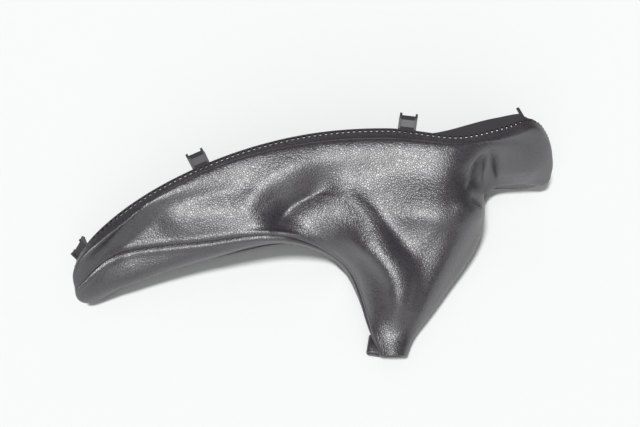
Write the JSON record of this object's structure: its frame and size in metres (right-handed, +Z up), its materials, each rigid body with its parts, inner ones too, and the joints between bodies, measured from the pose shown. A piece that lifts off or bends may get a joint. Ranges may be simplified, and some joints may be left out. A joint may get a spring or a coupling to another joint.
{
  "type": "handbrake lever cover",
  "caption": "Sewn leatherette boot for a handbrake lever, on a perforated collar with snap clips, lying on its side.",
  "frame": {"origin": "middle of the footprint, on the surface that the cover lies on", "axes": "+X along the collar from its rear end to its front end, +Y from the neck to the collar's opening, +Z up"},
  "size_m": [0.2976, 0.1394, 0.0784],
  "materials": {
    "leatherette": "grained, satin",
    "collar_plastic": "matte"
  },
  "bodies": {
    "root": {"near_panel_rear": "leatherette", "near_panel_middle": "leatherette", "near_panel_front": "leatherette", "near_panel_neck": "leatherette", "far_panel": "leatherette", "far_panel_neck": "leatherette", "collar": "collar_plastic"}
  },
  "joints": []
}
